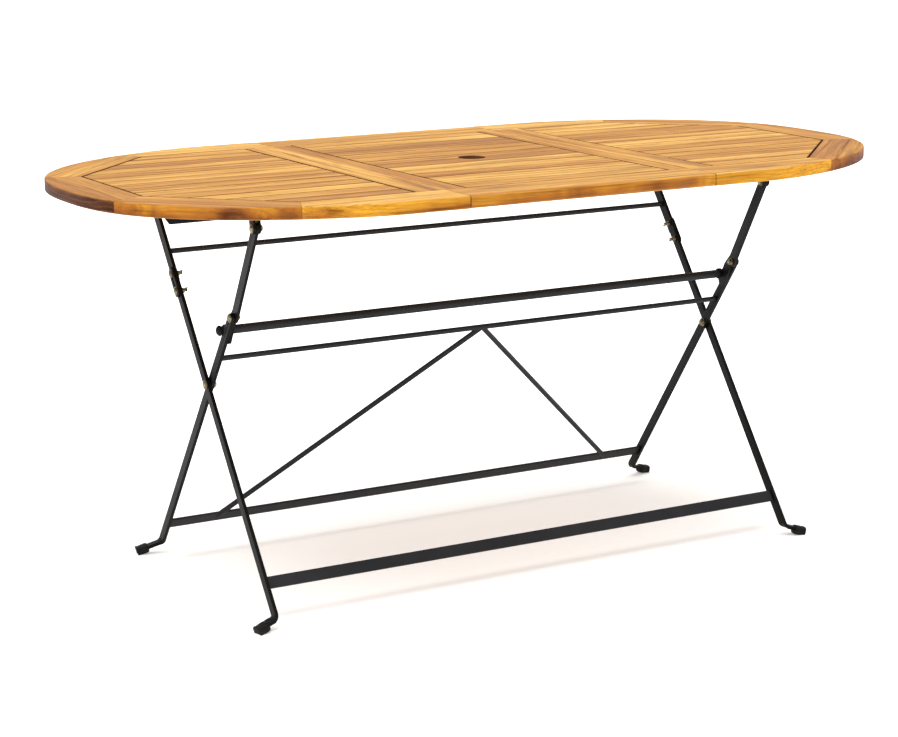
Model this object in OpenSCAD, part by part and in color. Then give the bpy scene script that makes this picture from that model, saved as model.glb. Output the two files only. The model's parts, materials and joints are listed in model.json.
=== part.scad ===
// Folding oval table: slatted wooden top in three panels on two crossed
// flat-bar leg frames. X runs along the table, -Y is its front, Z is up.
// The origin is on the floor under the parasol hole.

/* [Table top] */
// Overall length of the top
top_l = 1600; // [1500:10:1700]
// Overall width of the top
top_w = 850; // [830:5:880]
// Height of the top surface above the floor
top_h = 750; // [746:1:756]
// Thickness of the boards
board_t = 22; // [20:1:24]
// Length of each curved end of the outline, along X
end_l = 425; // [415:5:440]
// Exponent of the outline along X
end_px = 1.54; // [1.5:0.01:1.6]
// Exponent of the outline along Y
end_py = 2.63; // [2.6:0.01:2.7]
// Half length of the centre panel
panel_x = 250; // [240:1:260]
// Radius of the parasol hole
hole_r = 25; // [15:1:30]

/* [Boards] */
// Half width of the slatted opening
open_y = 340; // [330:1:345]
// Where the side rails meet the corner rails
rail_x = 523; // [510:1:535]
// Where the tip rail starts, along X
tip_x = 718; // [712:1:724]
// Half length of the inner edge of the tip rail
tip_y = 140; // [130:1:150]
// Width of the cross stile of an end panel
end_stile_w = 56; // [50:1:60]
// Width of the cross stiles of the centre panel
mid_stile_w = 39; // [34:1:44]
// Number of slats across each panel
slat_n = 14; // [12:1:16]
// Gap between two slats
slat_gap = 3; // [2:0.5:5]
// Gap between the slats and the frame round them
frame_gap = 4; // [3:0.5:6]
// Gap between two panels
seam_gap = 1.6; // [1:0.2:3]
// Length of the slat tongues inside the frame groove
tongue_l = 12; // [8:1:15]
// Thickness of the slat tongues
tongue_t = 8; // [6:1:10]

/* [Leg frames] */
// Crossing pivot of the two leg frames, Y
cross_y = 2; // [0:1:4]
// Crossing pivot of the two leg frames, Z
cross_z = 380; // [379:1:381]
// Lean of the outer leg frame, Y per Z
lean_a = 0.735; // [0.73:0.001:0.74]
// Lean of the inner leg frame, Y per Z
lean_b = 0.71; // [0.705:0.001:0.715]
// Height of the top end of the outer leg frame
top_z = 706; // [705:1:707]
// Height of the knee pivot
knee_z = 517.5; // [517:0.5:518]
// Pivot of the toggle links under the top, Y
link_y = -190; // [-191:1:-189]
// Pivot of the toggle links under the top, Z
link_z = 687; // [686:1:688]
// Outer face of the outer legs, along X
leg_x = 551; // [545:1:560]
// Thickness of the leg bars
bar_t = 6.7; // [6:0.1:6.8]
// Gap between two bars that turn past each other
turn_gap = 0.3; // [0.3:0.05:0.4]
// Width of the lower leg bars
low_w = 17; // [15:1:18]
// Width of the upper leg bars and the links
up_w = 20; // [18:1:20]
// Thickness of the toggle links
link_t = 5.5; // [5:0.1:5.5]
// Height of the joint between lower and upper outer legs
splice_z = 547; // [544:1:550]

/* [Cross members] */
// Diameter of the round rods
rod_d = 10; // [8:0.5:10]
// Diameter of the pull bar behind the knees
pull_d = 16; // [14:0.5:16]
// Width of the flat foot rails
flat_w = 22; // [18:1:24]
// Thickness of the flat foot rails
flat_t = 5; // [4:0.5:6]
// Height of the front foot rail
front_rail_z = 71.5; // [65:0.5:85]
// Height of the rear foot rail
rear_rail_z = 64; // [60:1:80]
// Height of the rod near the top of the outer legs
top_rod_z = 598; // [590:1:605]
// Height of the rod above the crossing
mid_rod_z = 434; // [428:1:436]
// Where the left brace meets the rear foot rail, from the middle
brace_left_x = 438; // [400:1:460]
// Where the right brace meets the rear foot rail, from the middle
brace_right_x = 450; // [400:1:460]

/* [Feet and brackets] */
// Bend radius of the feet
foot_r = 14; // [12:1:16]
// Bend angle of the feet
foot_a = 70; // [66:1:74]
// Length and width of a foot cap
cap_w = 24; // [22:1:26]
// Thickness of a foot cap
cap_t = 15; // [14:1:17]
// Half length of the steel rails under the top
under_x = 708; // [660:1:710]
// Height and width of those rails
under_h = 20; // [18:1:20]
// Steel thickness of those rails
under_t = 3; // [2.5:0.5:3]
// Thickness of the bracket ears
ear_t = 4; // [3:0.5:4]

/* [Hidden] */
$fn = 64;
cut = 0.5;         // how far a cutting tool runs past a face
far = 400;         // longer than any region that trims the outline

oak = [0.80, 0.58, 0.33];
oak_light = [0.87, 0.68, 0.40];
oak_dark = [0.72, 0.48, 0.29];
steel = [0.13, 0.13, 0.14];
zinc = [0.66, 0.64, 0.56];
plastic = [0.06, 0.06, 0.06];

// The top
under_z = top_h - board_t;
end_x = top_l / 2 - end_l;
open_x = panel_x + end_stile_w;
mid_open_x = panel_x - mid_stile_w;
pitch = 2 * open_y / slat_n;
groove_z = under_z + (board_t - tongue_t) / 2;
corner_n = atan2(rail_x - tip_x, tip_y - open_y) + 180;   // outward normal of a corner rail
rail_mitre = (90 + corner_n) / 2;
tip_mitre = corner_n / 2;

// Planes of the flat bars: the face nearest the middle of the table
outer_x = leg_x - bar_t;
inner_x = outer_x - 2 * turn_gap - bar_t;
link_x = inner_x - turn_gap - link_t;

// Pivots and the lines of the leg frames
cross_p = [cross_y, cross_z];
link_p = [link_y, link_z];
function on_outer(z) = cross_p + [lean_a, 1] * (z - cross_p[1]);
function on_inner(z) = cross_p + [-lean_b, 1] * (z - cross_p[1]);
top_p = on_outer(top_z);
knee_p = on_inner(knee_z);
splice_p = on_outer(splice_z);
tilt_a = atan(lean_a);
tilt_b = atan(lean_b);
up_a = [sin(tilt_a), cos(tilt_a)];
up_side = [cos(tilt_a), -sin(tilt_a)];

// Feet: the cap's centre is this far along the straight end of the bent bar
cap_at = 23;
cap_z = 10.5;      // height of the cap's centre
cap_r = 6;         // rounding of the cap
cap_end = 3;       // plastic past the end of the bar
inner_extra = outer_x - inner_x;
function foot_drop(extra) = foot_r * sin(foot_a) + (cap_at + extra) * cos(foot_a);
outer_bend = on_outer(cap_z + foot_drop(0) * cos(tilt_a));
inner_bend = on_inner(cap_z + foot_drop(inner_extra) * cos(tilt_b));

// Links: down the tail and towards the rear, as unit vectors
link_l = norm(link_p - knee_p);
tail_u = (knee_p - link_p) / link_l;
rear_u = [-tail_u[1], tail_u[0]];
// Outline of the tail: down from the knee, then towards the rear
tail_outline = [[-14, 9], [14, 16], [55, 16], [60, 11], [60, 0], [56, -4], [12, -4], [2, -8]];
pull_down = 46;    // from the knee to the pull bar, along the link
pull_rear = 21.9;  // and towards the rear
pull_p = knee_p + tail_u * pull_down + rear_u * pull_rear;
pull_x = 544;      // half length of the tube, without its plugs
boss_r = 10.5;

// Fasteners
pivot_r = 4;       // shank of the crossing and rear pivot bolts
bolt_r = 3.5;      // shank of the knee and bracket bolts
splice_r = 3;
running = 0.05;    // radial clearance of a pin that turns
head_r = 7;
head_h = 4;
head_rim = 1 / 3;  // straight part of a domed head, as a share of its height
dome_top = 0.6;    // top of a dome or cone, as a share of its radius
nut_r = 6.5;
nut_h = 4.8;
wing_l = 20;       // wing nut from tip to tip
wing_t = 2.4;
wing_h = 6;
hub_r = 5;
hub_h = 6;
splice_l = 60;
splice_t = 3;
splice_bolt = 17.7;     // from the middle of the splice plate to a bolt
ear_r = 10;
front_web_y = link_p[0] - 5;      // rear face of the front rail's web
rear_web_y = top_p[0] + 12;       // front face of the rear rail's web
flange_w = 22;
flange_hold = 20;  // how far an ear runs along the flange
rail_slant = 15;   // how much shorter a rail is at its lower edge
screw_r = 2;
screw_l = 16;      // length of a screw inside the wood
screw_head_h = 2.5;
screw_head_r = 4.5;
tongue_share = 3 / 5;               // width of a tongue as a share of the pitch
plug_l = 15;       // length of a plug inside the pull bar
plug_r = 9.5;
plug_rim = 3;
plug_dome = 5;
screw_y = [-184, 236];
screw_x = [150, 231, 278, 420, 610];

// ---------- helpers ----------

// Draws the shape on both ends of the table
module both() {
    children();
    mirror([1, 0, 0]) children();
}

// Draws the shape at one end: side is 1 for the right end, -1 for the left
module at_end(side) {
    mirror([side > 0 ? 0 : 1, 0, 0]) children();
}

// Extrudes a side view, drawn as Y and Z, from x over the thickness t
module side_plate(x, t) {
    translate([x, 0, 0]) rotate([90, 0, 90]) linear_extrude(t) children();
}

// Cylinder along X through the point p of the side view
module x_pin(p, x, l, r) {
    translate([x, p[0], p[1]]) rotate([0, 90, 0]) cylinder(r = r, h = l);
}

// Hexagon nut along X
module x_nut(p, x, l, r) {
    translate([x, p[0], p[1]]) rotate([0, 90, 0]) cylinder(r = r, h = l, $fn = 6);
}

// Domed bolt head whose flat side is at x, pointing away from the middle
module x_head(p, x, r, h) {
    translate([x, p[0], p[1]]) rotate([0, 90, 0]) {
        cylinder(r = r, h = h * head_rim);
        translate([0, 0, h * head_rim]) cylinder(r1 = r, r2 = r * dome_top, h = h * (1 - head_rim));
    }
}

// Straight strip of a side view from a to b; ends lists which ends are round
module strip(a, b, w, ends = []) {
    l = norm(b - a);
    translate(a) rotate(atan2(b[1] - a[1], b[0] - a[0])) {
        translate([0, -w / 2]) square([l, w]);
        for (e = ends) translate([e * l, 0]) rotate(e > 0 ? 0 : 180) circle(w / 2);
    }
}

// ---------- the top ----------

// One quarter of the outline, closer points where it bends most
outline_n = 32;
outline_bias = 1.4;
function outline_t(i) = 90 * pow(i / outline_n, outline_bias);
function outline_p(t) = [
    end_x + end_l * pow(max(cos(t), 0), 2 / end_px),
    top_w / 2 * pow(sin(t), 2 / end_py)
];
quarter = [for (i = [0 : outline_n]) outline_p(outline_t(i))];

module outline() {
    polygon(concat(
        quarter,
        [for (i = [outline_n : -1 : 0]) [-quarter[i][0], quarter[i][1]]],
        [for (i = [1 : outline_n]) [-quarter[i][0], -quarter[i][1]]],
        [for (i = [outline_n : -1 : 1]) [quarter[i][0], -quarter[i][1]]]
    ));
}

// Corners of the end panel's opening, moved in by e
function polar(l, a) = [l * cos(a), l * sin(a)];
function rail_corner(e) = [rail_x, open_y] - polar(e / cos(90 - rail_mitre), rail_mitre);
function tip_corner(e) = [tip_x, tip_y] - polar(e / cos(tip_mitre), tip_mitre);
function flip(p) = [p[0], -p[1]];
function end_opening(e) = [
    [open_x + e, e - open_y], flip(rail_corner(e)), flip(tip_corner(e)),
    tip_corner(e), rail_corner(e), [open_x + e, open_y - e]
];
function mid_opening(e) = [
    [e - mid_open_x, e - open_y], [mid_open_x - e, e - open_y],
    [mid_open_x - e, open_y - e], [e - mid_open_x, open_y - e]
];

// The groove that takes the tongues, cut into every board of the frame
module groove() {
    translate([0, 0, groove_z]) linear_extrude(tongue_t) children();
}

module frame_board(tone) {
    color(tone) translate([0, 0, under_z]) linear_extrude(board_t) intersection() {
        outline();
        children();
    }
}

module end_board(side, tone, region) {
    at_end(side) difference() {
        frame_board(tone) polygon(region);
        groove() polygon(end_opening(-tongue_l));
    }
}

// Slats of one opening, each with a tongue at both ends
module slats(opening, tongues, x0, x1) {
    for (i = [0 : slat_n - 1]) color(i % 3 == 1 ? oak_dark : i % 2 == 0 ? oak : oak_light) {
        y = i * pitch - open_y;
        translate([0, 0, under_z]) linear_extrude(board_t) intersection() {
            polygon(opening);
            translate([x0, y + slat_gap / 2]) square([x1 - x0, pitch - slat_gap]);
        }
        groove() intersection() {
            polygon(tongues);
            translate([x0, y + pitch * (1 - tongue_share) / 2]) square([x1 - x0, pitch * tongue_share]);
        }
    }
}

module end_slats(side) {
    at_end(side) slats(end_opening(frame_gap), end_opening(-tongue_l), panel_x, tip_x + far);
}

module left_slats() end_slats(-1);
module right_slats() end_slats(1);
module centre_slats() difference() {
    slats(mid_opening(frame_gap), mid_opening(-tongue_l), -panel_x, panel_x);
    translate([0, 0, under_z - cut]) cylinder(r = hole_r, h = board_t + 2 * cut);
}

seam_x = panel_x + seam_gap / 2;
rail_corner_p = rail_corner(0);
tip_corner_p = tip_corner(0);
rail_out_p = rail_corner_p + polar(far, rail_mitre);
tip_out_p = tip_corner_p + polar(far, tip_mitre);
tip_region = [flip(tip_corner_p), flip(tip_out_p), tip_out_p, tip_corner_p];
corner_region = [rail_corner_p, tip_corner_p, tip_out_p, rail_out_p];
side_region = [[seam_x, open_y], rail_corner_p, rail_out_p, [seam_x, open_y + far]];
stile_region = [
    [seam_x, -open_y], [open_x, -open_y], [open_x, open_y], [seam_x, open_y]
];
function flipped(region) = [for (p = region) flip(p)];

module left_tip_rail() end_board(-1, oak_dark, tip_region);
module right_tip_rail() end_board(1, oak_dark, tip_region);
module left_rear_corner() end_board(-1, oak_light, corner_region);
module left_front_corner() end_board(-1, oak, flipped(corner_region));
module right_rear_corner() end_board(1, oak, corner_region);
module right_front_corner() end_board(1, oak_dark, flipped(corner_region));
module left_rear_rail() end_board(-1, oak, side_region);
module left_front_rail() end_board(-1, oak_light, flipped(side_region));
module right_rear_rail() end_board(1, oak, side_region);
module right_front_rail() end_board(1, oak_light, flipped(side_region));
module left_stile() end_board(-1, oak_light, stile_region);
module right_stile() end_board(1, oak_light, stile_region);

module mid_board(tone, x0, x1, y0, y1) difference() {
    frame_board(tone) translate([x0, y0]) square([x1 - x0, y1 - y0]);
    groove() polygon(mid_opening(-tongue_l));
}

mid_seam = panel_x - seam_gap / 2;
module centre_left_stile() mid_board(oak_dark, -mid_seam, -mid_open_x, -open_y, open_y);
module centre_right_stile() mid_board(oak, mid_open_x, mid_seam, -open_y, open_y);
module centre_rear_rail() mid_board(oak, -mid_seam, mid_seam, open_y, top_w / 2);
module centre_front_rail() mid_board(oak_dark, -mid_seam, mid_seam, -top_w / 2, -open_y);

// ---------- steel under the top ----------

// Angle rail whose web stands at web_y; dir says which way its flange points
module under_rail(web_y, dir, hole_y) color(steel) difference() {
    union() {
        translate([0, web_y + (dir > 0 ? 0 : under_t), 0]) rotate([90, 0, 0])
            linear_extrude(under_t) polygon([
                [-under_x, under_z], [under_x, under_z],
                [under_x - rail_slant, under_z - under_h],
                [rail_slant - under_x, under_z - under_h]
            ]);
        translate([-under_x, dir > 0 ? web_y : web_y - flange_w, under_z - under_t])
            cube([2 * under_x, flange_w, under_t]);
    }
    both() for (x = screw_x)
        translate([x, hole_y, under_z - under_t - cut])
            cylinder(r = screw_r, h = under_t + 2 * cut);
}

module front_under_rail() under_rail(front_web_y, 1, screw_y[0]);
module rear_under_rail() under_rail(rear_web_y, -1, screw_y[1]);

// Bracket ear in side view: round at the pivot p, its back on the web at web_y
module ear(p, web_y, dir) difference() {
    union() {
        translate(p) circle(ear_r);
        polygon([
            p + [-dir * ear_r, 0], [web_y, under_z - under_h], [web_y, under_z - under_t],
            [web_y + dir * flange_hold, under_z - under_t], p + [dir * ear_r, 0]
        ]);
    }
    translate(p) circle(dir > 0 ? bolt_r : pivot_r);
}

front_ear_in = link_x - turn_gap - ear_t;
front_ear_out = link_x + link_t + turn_gap;
module front_brackets() color(steel) both() for (x = [front_ear_in, front_ear_out])
    side_plate(x, ear_t) ear(link_p, front_web_y, 1);

rear_ear_t = bar_t - 2 * turn_gap - 2;
rear_ear_in = outer_x - turn_gap - rear_ear_t;
rear_ear_out = leg_x + turn_gap;
module rear_brackets() color(steel) both() for (x = [rear_ear_in, rear_ear_out])
    side_plate(x, rear_ear_t) ear(top_p, rear_web_y, -1);

module rail_screws() color(zinc) both() for (x = screw_x, y = screw_y)
    translate([x, y, under_z - under_t]) {
        translate([0, 0, -screw_head_h])
            cylinder(r1 = screw_head_r * dome_top, r2 = screw_head_r, h = screw_head_h);
        cylinder(r = screw_r, h = screw_l);
    }

module bracket_bolts() color(zinc) both() {
    x_pin(link_p, front_ear_in, front_ear_out + ear_t - front_ear_in, bolt_r);
    x_head(link_p, front_ear_out + ear_t, head_r, head_h);
}

module bracket_nuts() color(zinc) both()
    x_nut(link_p, front_ear_in - nut_h, nut_h, nut_r);

module rear_pivot_bolts() color(zinc) both() {
    x_pin(top_p, rear_ear_out, rear_ear_t, pivot_r);
    x_head(top_p, rear_ear_out + rear_ear_t, head_r, head_h);
}

module rear_pivot_nuts() color(zinc) both() {
    x_pin(top_p, rear_ear_in, rear_ear_t, pivot_r);
    x_nut(top_p, rear_ear_in - nut_h, nut_h, nut_r);
}

// ---------- feet ----------

// Places a foot at the point p in the middle of the bar, leaning as the leg does
module foot_frame(p, x, tilt) {
    translate([x + bar_t / 2, p[0], p[1]]) rotate([tilt, 0, 0]) children();
}

// Places a shape at the start of the straight end, which then runs along +X
module foot_end() {
    translate([foot_r - foot_r * cos(foot_a), 0, -foot_r * sin(foot_a)])
        rotate([0, 90 - foot_a, 0]) children();
}

module foot_bar(l) translate([0, -low_w / 2, -bar_t / 2]) cube([l, low_w, bar_t]);

module bent_foot(extra) {
    translate([foot_r, 0, 0]) rotate([90, 0, 0]) rotate([0, 0, 180])
        rotate_extrude(angle = foot_a)
            translate([foot_r - bar_t / 2, -low_w / 2]) square([bar_t, low_w]);
    foot_end() foot_bar(cap_at + extra + cap_w / 2 - cap_end);
}

// Rounded block, made of two crossing rounded plates
module cap_section(w, h, r) {
    translate([r - w / 2, -h / 2]) square([w - 2 * r, h]);
    translate([-w / 2, r - h / 2]) square([w, h - 2 * r]);
    for (x = [r - w / 2, w / 2 - r], y = [r - h / 2, h / 2 - r]) translate([x, y]) circle(r);
}

// Cap on the end of a foot, cut flat where it stands on the floor
module foot_cap(p, x, tilt, extra) intersection() {
    foot_frame(p, x, tilt) foot_end() difference() {
        translate([cap_at + extra, 0, 0]) intersection() {
            translate([-cap_w / 2, 0, 0]) rotate([90, 0, 90])
                linear_extrude(cap_w) cap_section(cap_w, cap_t, cap_r);
            translate([0, 0, -cap_t / 2])
                linear_extrude(cap_t) cap_section(cap_w, cap_w, cap_r);
        }
        foot_bar(cap_at + extra + cap_w / 2 - cap_end);
    }
    translate([0, -far, 0]) cube([2 * far, 2 * far, far]);
}

// ---------- outer leg frame ----------

module outer_leg(side) color(steel) at_end(side) {
    difference() {
        side_plate(outer_x, bar_t) strip(outer_bend, splice_p, low_w);
        x_pin(cross_p, outer_x - cut, bar_t + 2 * cut, pivot_r);
        x_pin(splice_p - up_a * splice_bolt, outer_x - cut, bar_t + 2 * cut, splice_r);
    }
    foot_frame(outer_bend, outer_x, -tilt_a) bent_foot(0);
}

module outer_upper(side) color(steel) at_end(side) difference() {
    side_plate(outer_x, bar_t) strip(splice_p, top_p, up_w, [1]);
    x_pin(top_p, outer_x - cut, bar_t + 2 * cut, pivot_r);
    x_pin(splice_p + up_a * splice_bolt, outer_x - cut, bar_t + 2 * cut, splice_r);
}

module splice_plate(side) color(steel) at_end(side) difference() {
    reach = up_a * (splice_l - up_w) / 2;
    side_plate(leg_x, splice_t) strip(splice_p - reach, splice_p + reach, up_w, [0, 1]);
    for (s = [-1, 1])
        x_pin(splice_p + up_a * s * splice_bolt, leg_x - cut, splice_t + 2 * cut, splice_r);
}

splice_end = outer_x - 10;        // where the splice bolts end, inside the wing nuts
module splice_bolts() color(zinc) both() for (s = [-1, 1]) {
    p = splice_p + up_a * s * splice_bolt;
    x_pin(p, splice_end, leg_x + splice_t - splice_end, splice_r);
    x_head(p, leg_x + splice_t, head_r, head_h);
}

// Wing nut: round hub with two flat wings along the leg
module wing_nut(p) difference() {
    union() {
        x_pin(p, outer_x - hub_h, hub_h, hub_r);
        side_plate(outer_x - hub_h * 1.5, wing_h)
            strip(p - up_side * wing_l / 2, p + up_side * wing_l / 2, wing_t);
    }
    x_pin(p, outer_x - 2 * hub_h, 2 * hub_h + cut, splice_r);
}

module splice_wing_nuts() color(zinc) both() for (s = [-1, 1])
    wing_nut(splice_p + up_a * s * splice_bolt);

// Flat rail across the table, its wide side in the plane of the leg frame
module flat_cross(p, tilt, half) color(steel)
    translate([-half, p[0], p[1]]) rotate([tilt, 0, 0])
        translate([0, -flat_t / 2, -flat_w / 2]) cube([2 * half, flat_t, flat_w]);

module front_foot_rail() flat_cross(on_outer(front_rail_z), -tilt_a, outer_x);
module top_rod() color(steel) x_pin(on_outer(top_rod_z), -outer_x, 2 * outer_x, rod_d / 2);
module outer_leg_left() outer_leg(-1);
module outer_leg_right() outer_leg(1);
module outer_upper_left() outer_upper(-1);
module outer_upper_right() outer_upper(1);
module splice_plate_left() splice_plate(-1);
module splice_plate_right() splice_plate(1);
module front_foot_caps() color(plastic) both() foot_cap(outer_bend, outer_x, -tilt_a, 0);
module rear_pivot_pins() color(zinc) both() x_pin(top_p, outer_x, bar_t, pivot_r);

crossing_nut_x = inner_x - turn_gap - nut_h;
module crossing_bolts() color(zinc) both() {
    x_pin(cross_p, crossing_nut_x, leg_x - crossing_nut_x, pivot_r);
    x_head(cross_p, leg_x, head_r + 1, head_h);
}

module crossing_nuts() color(zinc) both() difference() {
    x_nut(cross_p, crossing_nut_x, nut_h, nut_r + 1);
    x_pin(cross_p, crossing_nut_x - cut, nut_h + 2 * cut, pivot_r);
}

// ---------- inner leg frame ----------

module inner_leg(side) color(steel) at_end(side) {
    difference() {
        side_plate(inner_x, bar_t) strip(inner_bend, knee_p, low_w, [1]);
        x_pin(cross_p, inner_x - cut, bar_t + 2 * cut, pivot_r + running);
        x_pin(knee_p, inner_x - cut, bar_t + 2 * cut, bolt_r + running);
    }
    foot_frame(inner_bend, inner_x, tilt_b) bent_foot(inner_extra);
}

mid_rod_p = on_inner(mid_rod_z);
rear_rail_p = on_inner(rear_rail_z);
brace_drop = norm(mid_rod_p - rear_rail_p);

// Brace from the middle of the mid rod down to the rear foot rail
module brace(side, foot_x) color(steel) at_end(side) difference() {
    translate([0, mid_rod_p[0], mid_rod_p[1]]) rotate([tilt_b, 0, 0])
        rotate([0, 180 - atan2(foot_x, brace_drop), 0])
            cylinder(d = rod_d, h = norm([foot_x, brace_drop]));
    translate([-far, -far, 0]) cube([far, 2 * far, 2 * far]);
    mid_rod();
    rear_foot_rail();
}

module inner_leg_left() inner_leg(-1);
module inner_leg_right() inner_leg(1);
module rear_foot_rail() flat_cross(rear_rail_p, tilt_b, inner_x);
module mid_rod() color(steel) x_pin(mid_rod_p, -inner_x, 2 * inner_x, rod_d / 2);
module brace_left() brace(-1, brace_left_x);
module brace_right() brace(1, brace_right_x);
module rear_foot_caps() color(plastic) both()
    foot_cap(inner_bend, inner_x, tilt_b, inner_extra);

// ---------- toggle links ----------

module link(side) color(steel) at_end(side) difference() {
    side_plate(link_x, link_t) {
        strip(knee_p, link_p, up_w, [0, 1]);
        polygon([for (q = tail_outline) knee_p + tail_u * q[0] + rear_u * q[1]]);
        translate(pull_p) circle(boss_r);
    }
    x_pin(link_p, link_x - cut, link_t + 2 * cut, bolt_r + running);
    x_pin(knee_p, link_x - cut, link_t + 2 * cut, bolt_r);
    x_pin(pull_p, link_x - cut, link_t + 2 * cut, pull_d / 2);
}

module link_left() link(-1);
module link_right() link(1);

tube_wall = 1.5;
module pull_bar() color(steel) difference() {
    x_pin(pull_p, -pull_x, 2 * pull_x, pull_d / 2);
    x_pin(pull_p, -pull_x - cut, 2 * pull_x + 2 * cut, pull_d / 2 - tube_wall);
}

module pull_bar_plugs() color(plastic) both() {
    x_pin(pull_p, pull_x - plug_l, plug_l, pull_d / 2 - tube_wall);
    translate([pull_x, pull_p[0], pull_p[1]]) rotate([0, 90, 0]) {
        cylinder(r = plug_r, h = plug_rim);
        translate([0, 0, plug_rim]) cylinder(r1 = plug_r, r2 = plug_r * dome_top, h = plug_dome);
    }
}

knee_end = link_x - nut_h;
module knee_bolts() color(zinc) both() {
    x_pin(knee_p, knee_end, inner_x + bar_t + turn_gap - knee_end, bolt_r);
    x_head(knee_p, inner_x + bar_t + turn_gap, head_r, head_h);
}

module knee_nuts() color(zinc) both() difference() {
    x_nut(knee_p, knee_end, nut_h, nut_r);
    x_pin(knee_p, knee_end - cut, nut_h + 2 * cut, bolt_r);
}

// ---------- every piece in its place ----------

left_slats();
centre_slats();
right_slats();
left_tip_rail();
right_tip_rail();
left_rear_corner();
left_front_corner();
right_rear_corner();
right_front_corner();
left_rear_rail();
left_front_rail();
right_rear_rail();
right_front_rail();
left_stile();
right_stile();
centre_left_stile();
centre_right_stile();
centre_rear_rail();
centre_front_rail();
front_under_rail();
rear_under_rail();
front_brackets();
rear_brackets();
rail_screws();
bracket_bolts();
bracket_nuts();
rear_pivot_bolts();
rear_pivot_nuts();
outer_leg_left();
outer_leg_right();
outer_upper_left();
outer_upper_right();
splice_plate_left();
splice_plate_right();
splice_bolts();
splice_wing_nuts();
front_foot_rail();
top_rod();
front_foot_caps();
rear_pivot_pins();
crossing_bolts();
crossing_nuts();
inner_leg_left();
inner_leg_right();
rear_foot_rail();
mid_rod();
brace_left();
brace_right();
rear_foot_caps();
link_left();
link_right();
pull_bar();
pull_bar_plugs();
knee_bolts();
knee_nuts();
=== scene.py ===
"""Looks of the folding oval table: oiled hardwood boards, powder-coated steel, zinc fasteners."""

import json
import math
import random

import bmesh
import bpy
from mathutils import Matrix, Vector

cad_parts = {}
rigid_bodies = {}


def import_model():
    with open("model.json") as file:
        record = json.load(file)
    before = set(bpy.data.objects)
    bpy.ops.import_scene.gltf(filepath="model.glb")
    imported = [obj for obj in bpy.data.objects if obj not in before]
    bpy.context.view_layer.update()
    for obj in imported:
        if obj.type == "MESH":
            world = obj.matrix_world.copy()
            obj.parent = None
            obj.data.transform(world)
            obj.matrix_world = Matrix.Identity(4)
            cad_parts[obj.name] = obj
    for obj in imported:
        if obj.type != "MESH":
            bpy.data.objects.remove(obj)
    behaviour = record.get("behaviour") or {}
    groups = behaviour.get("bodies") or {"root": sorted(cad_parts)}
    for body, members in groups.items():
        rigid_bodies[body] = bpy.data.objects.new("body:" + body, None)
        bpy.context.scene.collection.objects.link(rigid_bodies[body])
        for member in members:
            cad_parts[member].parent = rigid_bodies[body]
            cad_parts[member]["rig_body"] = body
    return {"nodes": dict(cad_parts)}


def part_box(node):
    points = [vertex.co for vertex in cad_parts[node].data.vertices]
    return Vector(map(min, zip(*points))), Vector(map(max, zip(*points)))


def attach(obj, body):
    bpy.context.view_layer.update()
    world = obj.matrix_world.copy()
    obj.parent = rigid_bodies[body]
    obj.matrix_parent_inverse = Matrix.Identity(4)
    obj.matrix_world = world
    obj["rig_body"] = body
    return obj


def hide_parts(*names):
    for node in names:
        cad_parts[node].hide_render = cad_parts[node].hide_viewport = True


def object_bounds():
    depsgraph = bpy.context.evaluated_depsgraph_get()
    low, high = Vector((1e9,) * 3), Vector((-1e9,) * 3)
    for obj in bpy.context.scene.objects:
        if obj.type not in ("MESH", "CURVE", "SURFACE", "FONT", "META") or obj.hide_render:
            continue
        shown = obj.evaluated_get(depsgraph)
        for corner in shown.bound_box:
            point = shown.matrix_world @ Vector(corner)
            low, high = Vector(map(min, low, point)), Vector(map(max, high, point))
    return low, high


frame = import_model()
cad_low, cad_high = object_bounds()
MM = 0.001
TOP = "table_top"


# ---------- small helpers ----------

def new_object(name, mesh):
    """Links a new object that carries the mesh."""
    obj = bpy.data.objects.new(name, mesh)
    bpy.context.scene.collection.objects.link(obj)
    return obj


def smooth(mesh, angle):
    """Smooth shading, with edges sharper than the angle kept crisp."""
    for face in mesh.polygons:
        face.use_smooth = True
    mesh.set_sharp_from_angle(angle=math.radians(angle))


def skin(first, sides, count):
    """Faces of a closed skin over this many rings of points, the first of which has that number."""
    faces = []
    for k in range(count - 1):
        a = first + k * sides
        for i in range(sides):
            j = (i + 1) % sides
            faces.append((a + i, a + j, a + sides + j, a + sides + i))
    last = first + (count - 1) * sides
    faces.append(tuple(first + i for i in reversed(range(sides))))
    faces.append(tuple(last + i for i in range(sides)))
    return faces


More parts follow.
